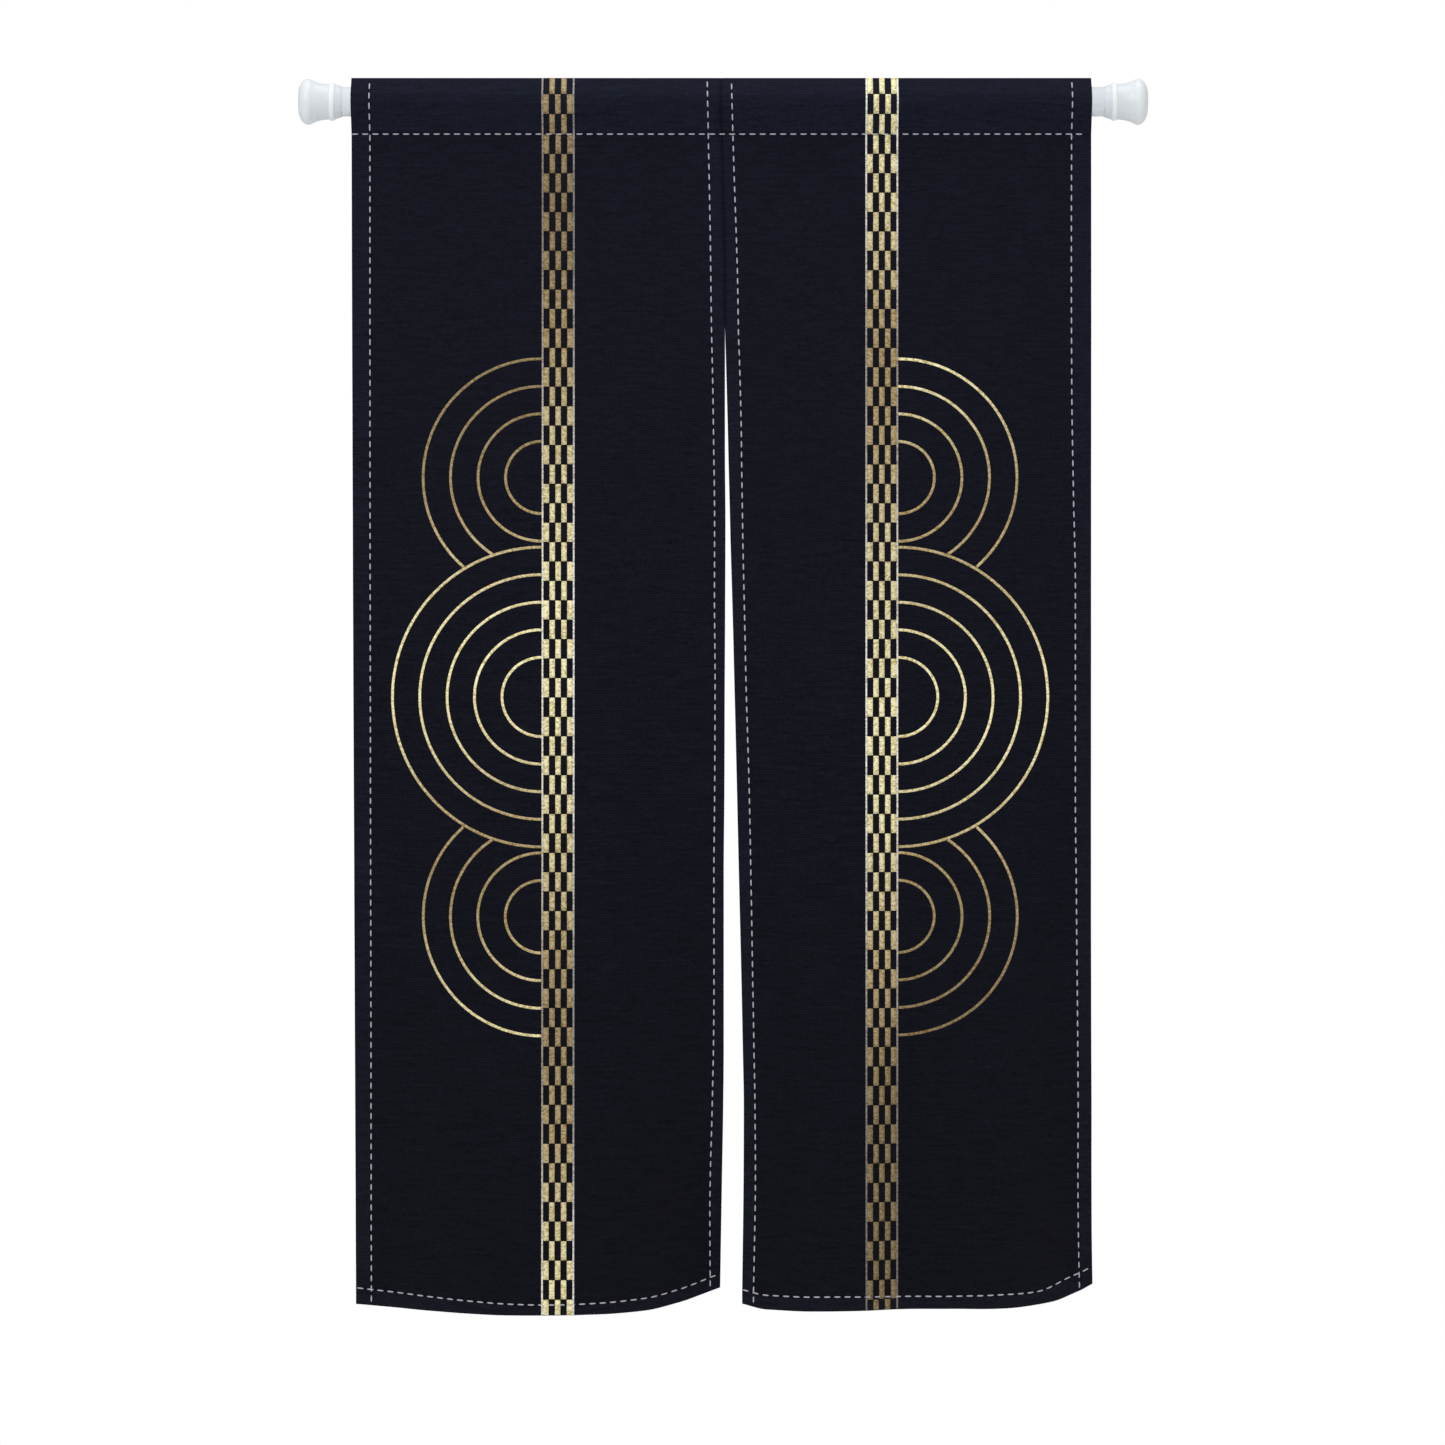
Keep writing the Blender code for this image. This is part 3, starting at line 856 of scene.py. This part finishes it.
class Print(Gathered):
    """A print's thin slabs, with the tones that its gold has down the cloth."""

    def __init__(self, tones):
        super().__init__("pale", "line")
        self.tones = tones

    def add_slab(self, under, over, line=0.0):
        """Adds a closed thin slab between two grids of points, with the mark of a fine line."""
        sides = []
        for block in (under, over):
            pale = between(self.tones, "drop", "pale", -block[..., 2])
            sides.append(self.add(block, np.stack([pale, np.full_like(pale, line)], -1)))
        low, high = sides
        faces = [grid_faces(high), grid_faces(low)[:, ::-1]]
        for lower, upper in ((low, high), (low.T, high.T)):
            faces += [strip_faces(lower[0], upper[0]), strip_faces(lower[-1], upper[-1])]
        self.faces += np.concatenate(faces).tolist()


def face_points(panel, along, height_rows, side, lift):
    """Points of an outer face at places along the rod, at heights that run down it."""

    def place(drop):
        return np.broadcast_to(along, (len(drop), len(along)))

    face, _ = outer_face(panel, place, side, lift)
    columns = []
    for j in range(len(along)):
        z = face[:, j, 2]
        heights = np.clip(height_rows, z[-1], z[0])
        column = [np.interp(-heights, -z, face[:, j, k]) for k in range(3)]
        columns.append(np.stack(column, -1))
    return np.stack(columns, 1)


def check_band(name, panel, band):
    """The band of checks between two fine lines, from the bottom edge up the front, over the
    crease and down the back of the header."""
    gold = Print(band["tones"])
    left = band["along"] - BAND_WIDTH / 2
    column = (BAND_WIDTH - 2 * BAND_LINE) / BAND_COLUMNS
    drops = FIRST_CHECK_DROP + np.arange(CHECK_ROWS) * band["check_height"]
    drops += between(CHECK_SAG, "drop", band["side"], drops)
    rows = [CLOTH_TOP, *-drops]
    edge = np.array([left, left + BAND_LINE / 2, left + BAND_LINE])
    for side, lowest in ((-1, BELOW_HEM), (1, BACK_PRINT_END)):
        for shift, grey in zip((0.0, BAND_WIDTH - BAND_LINE), band["line_greys"]):
            add_patch(gold, panel, edge + shift, CLOTH_TOP, lowest, side, grey)
        for k, (top, bottom) in enumerate(zip(rows, rows[1:])):
            bottom = max(bottom, lowest)
            if top <= lowest:
                break
            first = int((k % 2 == 0) != (band["gold_first"] == (side < 0)))
            for c in range(first, BAND_COLUMNS, 2):
                start = left + BAND_LINE + c * column + CHECK_MARGIN * (c > 0)
                end = left + BAND_LINE + (c + 1) * column
                end -= CHECK_MARGIN * (c < BAND_COLUMNS - 1)
                across = np.array([start, (start + end) / 2, end])
                margin = CHECK_MARGIN if k > 0 else 0.0
                add_patch(gold, panel, across, top - margin, bottom + CHECK_MARGIN, side)
    return gold.piece(name)


def add_patch(gold, panel, across, top, bottom, side, line=0.0):
    """Adds a slab of print between two heights, not past the bottom edge of the panel."""
    if side < 0:
        share = share_at(panel, across, NEAR_HEM_DROP)
        bottom = max(bottom, PRINT_HEM_MARGIN - lowest_drop(panel, share).min())
    if top - bottom < SHORTEST_PATCH:
        return
    count = max(int(math.ceil((top - bottom) / PATCH_STEP)), 1)
    heights = np.linspace(top, bottom, count + 1)
    under = face_points(panel, across, heights, side, PRINT_SINK)
    over = face_points(panel, across, heights, side, PRINT_LIFT + PRINT_THICKNESS)
    gold.add_slab(under, over, line)


def fan_arcs(band):
    """The arcs of the fans beside a band, as centre, radius and two angles, where the middle fan
    lies over the other two. An angle of 0 points away from the band."""
    edge = band["along"] + band["outward"] * BAND_WIDTH / 2
    front = FANS[0]
    cover = front["radius"] + STROKE / 2 - FAN_OVERLAP
    angles = np.linspace(-math.pi / 2, math.pi / 2, ARC_SAMPLES)
    arcs = []
    for fan in FANS:
        height = -FAN_MIDDLE_DROP + fan["above_middle"]
        for ring in range(fan["rings"]):
            radius = fan["radius"] - ring * RING_SPACING
            z = height + radius * np.sin(angles)
            x = radius * np.cos(angles)
            shown = angles[(np.hypot(x, z + FAN_MIDDLE_DROP) > cover) | (fan is front)]
            if len(shown) > 0:
                arcs.append((edge, height, radius, shown.min(), shown.max()))
    return arcs


def fan_print(name, panel, band):
    """The fans of arcs beside a band."""
    gold = Print(band["fan_tones"])
    outward = band["outward"]
    for edge, height, radius, low, high in fan_arcs(band):
        count = max(int(math.ceil(radius * (high - low) / ARC_STEP)), 4)
        angles = np.linspace(low, high, count + 1)
        radii = radius + STROKE * np.array([-0.5, 0.0, 0.5])
        beside = radii * np.cos(angles)[:, None]
        along = edge + outward * np.maximum(beside, 0.0)
        z = height + radii * np.sin(angles)[:, None]
        y, _, _ = hanging_faces(panel, along, -z)
        under = np.stack([along, y - PRINT_SINK, z], -1)
        over = np.stack([along, y - PRINT_LIFT - PRINT_THICKNESS, z], -1)
        gold.add_slab(under, over)
    return gold.piece(name)


def lathe(name, profile, mirrored=False):
    """A closed turned piece about the rod's axis from rows of (along, radius)."""
    turn = np.arange(ROUND_SIDES) * 2 * math.pi / ROUND_SIDES
    profile = np.asarray(profile)
    x = ROD_LENGTH - profile[:, 0] if mirrored else profile[:, 0]
    x = np.repeat(x[:, None], ROUND_SIDES, 1)
    y = profile[:, 1:] * np.cos(turn)
    z = profile[:, 1:] * np.sin(turn)
    points = np.stack([x, y, z], -1).reshape(-1, 3)
    index = np.arange(len(points)).reshape(len(profile), ROUND_SIDES)
    around = np.concatenate([index, index[:, :1]], 1)
    faces = grid_faces(around).tolist() + [index[0].tolist(), index[-1].tolist()]
    return new_piece(name, points, faces)


def rod_pieces():
    """The tube and its two end caps."""
    chamfered = TUBE_RADIUS - TUBE_CHAMFER
    start = [(TUBE_START, chamfered), (TUBE_START + TUBE_CHAMFER, TUBE_RADIUS)]
    end = [(ROD_LENGTH - along, radius) for along, radius in reversed(start)]
    tube = lathe("rod", start + [(along, TUBE_RADIUS) for along in TUBE_RINGS] + end)
    cap_length = CAP_PROFILE[-1]["from_jamb"]
    along = np.linspace(0.0, cap_length, CAP_STEPS)
    radius = between(CAP_PROFILE, "from_jamb", "radius", along)
    rows = [(0.0, face_radius) for face_radius in CAP_FACE_RADII] + list(zip(along, radius))
    rows.append((cap_length, TUBE_RADIUS + CAP_LIP_GAP))
    left = lathe("cap_left", rows)
    right = lathe("cap_right", rows, mirrored=True)
    # The painted highlights along the caps
    ridge = between(CAP_PAINTED_HIGHLIGHTS, "from_jamb", "ridge", np.array([row[0] for row in rows]))
    for cap in (left, right):
        set_mark(cap, "ridge", np.repeat(ridge, ROUND_SIDES))
    return tube, left, right


def named(rows, name):
    """The row of a table that has a name."""
    return next(row for row in rows if row["name"] == name)


class Nodes:
    """A material's node tree, with short calls for the nodes used here."""

    def __init__(self, name):
        self.material = bpy.data.materials.new(name)
        self.material.use_nodes = True
        self.tree = self.material.node_tree
        self.shader = self.tree.nodes["Principled BSDF"]
        self.place = self.add("ShaderNodeTexCoord", output="Object")

    def feed(self, socket, source):
        """Links a source to a socket, or sets the socket's own value."""
        if isinstance(source, bpy.types.NodeSocket):
            self.tree.links.new(source, socket)
        else:
            socket.default_value = source

    def add(self, kind, inputs=None, output=0, **settings):
        """An output of a new node that has these inputs and settings."""
        node = self.tree.nodes.new(kind)
        for name, value in settings.items():
            setattr(node, name, value)
        for name, source in (inputs or {}).items():
            self.feed(node.inputs[name], source)
        return node.outputs[output]

    def set(self, **values):
        """Sets or links the shader's inputs."""
        for name, value in values.items():
            self.feed(self.shader.inputs[name.replace("_", " ")], value)

    def mark(self, name):
        return self.add("ShaderNodeAttribute", output="Fac", attribute_name=name)

    def noise(self, name):
        """A noise of the table, in the object's coordinates."""
        row = named(NOISES, name)
        place = self.add("ShaderNodeMapping", {"Vector": self.place, "Scale": row["repeats"]})
        inputs = {"Vector": place, "Scale": 1.0}
        inputs.update({"Detail": row["detail"], "Roughness": row["roughness"]})
        return self.add("ShaderNodeTexNoise", inputs)

    def fit(self, value, name):
        """A value moved from one range to another, as the table says, and held inside it."""
        row = named(RANGES, name)
        inputs = {"Value": value, "From Min": row["low"], "From Max": row["high"]}
        inputs.update({"To Min": row["to_low"], "To Max": row["to_high"]})
        return self.add("ShaderNodeMapRange", inputs)

    def mix(self, share, first, second, blend="MIX"):
        inputs = {0: share, 6: first, 7: second}
        return self.add("ShaderNodeMix", inputs, 2, data_type="RGBA", blend_type=blend)

    def multiply(self, first, second):
        return self.mix(1.0, first, second, "MULTIPLY")

    def grey(self, value):
        """A value as a grey colour."""
        return self.add("ShaderNodeCombineColor", {"Red": value, "Green": value, "Blue": value})

    def sum(self, first, second, share=1.0):
        return self.add("ShaderNodeMath", {0: second, 1: share, 2: first}, operation="MULTIPLY_ADD")

    def bump(self, height, distance, strength):
        inputs = {"Height": height, "Distance": distance, "Strength": strength}
        self.set(Normal=self.add("ShaderNodeBump", inputs))


def weave(nodes):
    """The height of a plain weave, and its uneven threads: the weft runs along the rod."""
    inputs = {"Vector": nodes.place, **WEAVE}
    warp, weft = (
        nodes.add("ShaderNodeTexWave", inputs, "Fac", bands_direction=axis) for axis in ("X", "Z")
    )
    return nodes.sum(warp, weft), nodes.noise("slubs")


def cloth_material():
    """Blue-black cloth: the field a little darker than the hems, with faint uneven weft rows.
    Painted shade makes it darker further down, as under light from above, and darkens the furrows
    of the stitch lines and the seam. The reverse is greyer."""
    nodes = Nodes("blue_black_cloth")
    # Painted shade: the cloth's colour darkens further down, as under light from above
    height = nodes.add("ShaderNodeSeparateXYZ", {"Vector": nodes.place}, "Z")
    inputs = {0: nodes.fit(height, "cloth_fall"), 1: PAINTED_FALLOFF_POWER}
    painted_falloff = nodes.add("ShaderNodeMath", inputs, operation="POWER")
    field = nodes.mix(painted_falloff, FIELD_TOP, FIELD_BOTTOM)
    hem = nodes.mix(painted_falloff, HEM_TOP, HEM_BOTTOM)
    printed = nodes.mix(nodes.mark("hem"), field, hem)
    colour = nodes.mix(nodes.mark("reverse"), printed, REVERSE)
    # Painted shade in the furrows of the stitch lines and of the seam
    colour = nodes.multiply(colour, nodes.grey(nodes.fit(nodes.mark("furrow"), "furrow_shade")))
    threads, slubs = weave(nodes)
    uneven = nodes.sum(slubs, nodes.noise("weft_rows"))
    uneven = nodes.sum(uneven, nodes.noise("knots"), share=1.2)
    colour = nodes.multiply(colour, nodes.grey(nodes.fit(uneven, "cloth_shade")))
    nodes.set(Base_Color=colour, Roughness=nodes.fit(slubs, "cloth_roughness"))
    nodes.set(Specular_IOR_Level=0.04, Sheen_Weight=0.02, Sheen_Roughness=0.5)
    nodes.bump(nodes.sum(slubs, threads, share=0.3), distance=0.00018, strength=0.5)
    return nodes.material


def gold_material():
    """Gold print between bronze and pale gold, mottled by the weave under it: the low places
    show browner and duller."""
    nodes = Nodes("gold_print")
    tone = nodes.add("ShaderNodeValToRGB", {"Fac": nodes.mark("pale")})
    steps = tone.node.color_ramp.elements
    steps[0].color = GOLD_DARK
    steps[1].color = GOLD_PALE
    steps.new(GOLD_MIDDLE_PLACE).color = GOLD_MIDDLE
    mottle = nodes.noise("gold_mottle")
    threads, slubs = weave(nodes)
    hue = nodes.fit(nodes.noise("gold_hue"), "gold_hue")
    worn = nodes.mix(hue, GOLD_WORN_OLIVE, GOLD_WORN_TAN)
    wear = nodes.fit(nodes.sum(mottle, slubs, share=0.35), "gold_wear")
    colour = nodes.multiply(tone, nodes.mix(wear, worn, GOLD_BRIGHT))
    brightness = nodes.add("ShaderNodeRGBToBW", {"Color": colour})
    colour = nodes.mix(nodes.mark("line"), colour, nodes.grey(brightness))
    nodes.set(Base_Color=colour, Roughness=nodes.fit(mottle, "gold_roughness"))
    nodes.set(Metallic=0.15, Specular_IOR_Level=0.3)
    nodes.bump(nodes.sum(threads, mottle), distance=0.00008, strength=0.5)
    return nodes.material


def thread_material():
    """Pale grey-lilac sewing thread, twisted and a little fuzzy."""
    nodes = Nodes("sewing_thread")
    fibres = nodes.noise("fibres")
    colour = nodes.multiply(THREAD_COLOUR, nodes.grey(nodes.fit(fibres, "thread_shade")))
    nodes.set(Base_Color=colour, Roughness=nodes.fit(fibres, "thread_roughness"))
    nodes.set(Specular_IOR_Level=0.25, Sheen_Weight=0.1)
    nodes.bump(fibres, distance=0.00015, strength=0.6)
    return nodes.material


def enamel_material():
    """White enamel on a steel tube."""
    nodes = Nodes("white_enamel")
    cloud = nodes.noise("enamel_cloud")
    colour = nodes.mix(cloud, ENAMEL_DULL, ENAMEL_BRIGHT)
    nodes.set(Base_Color=colour, Roughness=nodes.fit(cloud, "enamel_roughness"))
    nodes.set(Coat_Weight=0.3, Coat_Roughness=0.12)
    nodes.bump(cloud, distance=0.00003, strength=0.4)
    return nodes.material


def plastic_material():
    """Slightly milky white moulded plastic, with painted highlights on the caps' ring and end."""
    nodes = Nodes("white_plastic")
    grain = nodes.noise("plastic_grain")
    colour = nodes.mix(nodes.noise("plastic_cloud"), PLASTIC_DULL, PLASTIC_BRIGHT)
    # Painted highlights: whiter on the ring and towards the end of a cap
    colour = nodes.mix(nodes.mark("ridge"), colour, PLASTIC_PAINTED_HIGHLIGHT)
    nodes.set(Base_Color=colour, Roughness=nodes.fit(grain, "plastic_roughness"))
    nodes.set(Subsurface_Weight=0.08, Subsurface_Radius=(0.004, 0.004, 0.004))
    nodes.bump(grain, distance=0.00003, strength=0.5)
    return nodes.material


def floor_material():
    """A plain pale floor that fades out towards its edge."""
    nodes = Nodes("pale_floor")
    colour = nodes.mix(nodes.noise("floor_cloud"), FLOOR_DULL, FLOOR_BRIGHT)
    inputs = {"Vector": nodes.place}
    distance = nodes.add("ShaderNodeVectorMath", inputs, "Value", operation="LENGTH")
    nodes.set(Base_Color=colour, Alpha=nodes.fit(distance, "floor_fade"))
    nodes.set(Roughness=0.9, Specular_IOR_Level=0.1)
    return nodes.material


def finish(piece, material):
    """Gives a piece its material and its slot, and lets it ride on the one body."""
    piece.data.materials.append(material)
    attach(piece, "root")


def flat_size(panel):
    """The size that a panel was cut to: its finished size, its hems and header, each with a first
    narrow turn, and the way of the pocket round the rod."""
    insets = side_insets(panel, MIDDLE_DROP)
    side_hems = sum(float(inset) + HEM_PAST_STITCH + FIRST_TURN for inset in insets)
    width = panel["width"] + side_hems
    section = pocket_section(SHEET / 2)
    pocket = float(np.linalg.norm(np.diff(section, axis=0), axis=1).sum())
    middle = float(lowest_drop(panel, 0.5))
    bottom_hem = float(between(panel["bottom_stitch"], "share", "inset", 0.5))
    hanging = middle - POCKET_STITCH_DROP + bottom_hem + HEM_PAST_STITCH + FIRST_TURN
    return width, 2 * pocket + POCKET_TURNED_EDGE + FIRST_TURN + hanging


def build_curtain(rod):
    """Both panels with their thread and print."""
    cloth, gold, thread = cloth_material(), gold_material(), thread_material()
    panel_faces = []
    for band in BANDS:
        key = band["side"]
        panel = PANELS[key]
        sheet, front, back = sheet_piece(f"cloth_{key}", panel)
        panel_faces.append((front, back))
        stitches = thread_piece(f"thread_{key}", hem_stitches(panel, front, back))
        checks = check_band(f"band_{key}", panel, band)
        fans = fan_print(f"fans_{key}", panel, band)
        finish(sheet, cloth)
        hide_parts(f"panel_{key}")
        finish(stitches, thread)
        finish(checks, gold)
        finish(fans, gold)
        if key == "right":
            header_thread = thread_piece("thread_header", header_stitches(panel_faces))
            finish(header_thread, thread)
        flat_size(panel)


def build_rod():
    """The tube and its caps, in their materials."""
    enamel, plastic = enamel_material(), plastic_material()
    tube, left, right = rod_pieces()
    finish(tube, enamel)
    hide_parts("rod_tube")
    for cap, node in ((left, "rod_cap_left"), (right, "rod_cap_right")):
        finish(cap, plastic)
        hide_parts(node)
    return tube


def build_floor():
    """A wide round floor well below the hem, which is out of the photograph's frame."""
    bpy.ops.mesh.primitive_circle_add(fill_type="NGON", **FLOOR)
    floor = bpy.context.object
    floor.name = "floor"
    floor.data.materials.append(floor_material())


def build_camera():
    """A long lens straight in front, framed as the photograph is."""
    middle = PHOTO_WIDTH / 2
    x = (middle - PHOTO_ROD_END) * PIXEL
    z = (PHOTO_ROD_ROW - middle) * PIXEL
    data = bpy.data.cameras.new("camera")
    data.sensor_width = SENSOR_WIDTH
    data.lens = SENSOR_WIDTH * CAMERA_DISTANCE / (PHOTO_WIDTH * PIXEL)
    camera = bpy.data.objects.new("camera", data)
    camera.location = (x, -CAMERA_DISTANCE, z)
    camera.rotation_euler = (math.pi / 2, 0.0, 0.0)
    bpy.context.scene.collection.objects.link(camera)
    bpy.context.scene.camera = camera


def area_light(name, place, target, size, power):
    """A round soft light that looks at a target."""
    data = bpy.data.lights.new(name, "AREA")
    data.shape = "DISK"
    data.size = size
    data.energy = power
    light = bpy.data.objects.new(name, data)
    light.location = place
    light.rotation_euler = (Vector(target) - Vector(place)).to_track_quat("-Z", "Y").to_euler()
    bpy.context.scene.collection.objects.link(light)


def build_lights():
    """A white room that lights softly, with a key light from the upper left of the viewer."""
    world = bpy.data.worlds.new("studio")
    world.use_nodes = True
    tree = world.node_tree
    background = tree.nodes["Background"]
    seen = tree.nodes.new("ShaderNodeLightPath").outputs["Is Camera Ray"]
    strength = tree.nodes.new("ShaderNodeMapRange")
    strength.inputs["To Min"].default_value = ROOM_LIGHT
    strength.inputs["To Max"].default_value = 1.0
    tree.links.new(seen, strength.inputs["Value"])
    tree.links.new(strength.outputs["Result"], background.inputs["Strength"])
    background.inputs["Color"].default_value = (1.0, 1.0, 1.0, 1.0)
    bpy.context.scene.world = world
    for light in LIGHTS:
        area_light(**light)
    bpy.context.scene.view_settings.view_transform = "Standard"


build_lights()
build_camera()
build_floor()
build_curtain(build_rod())
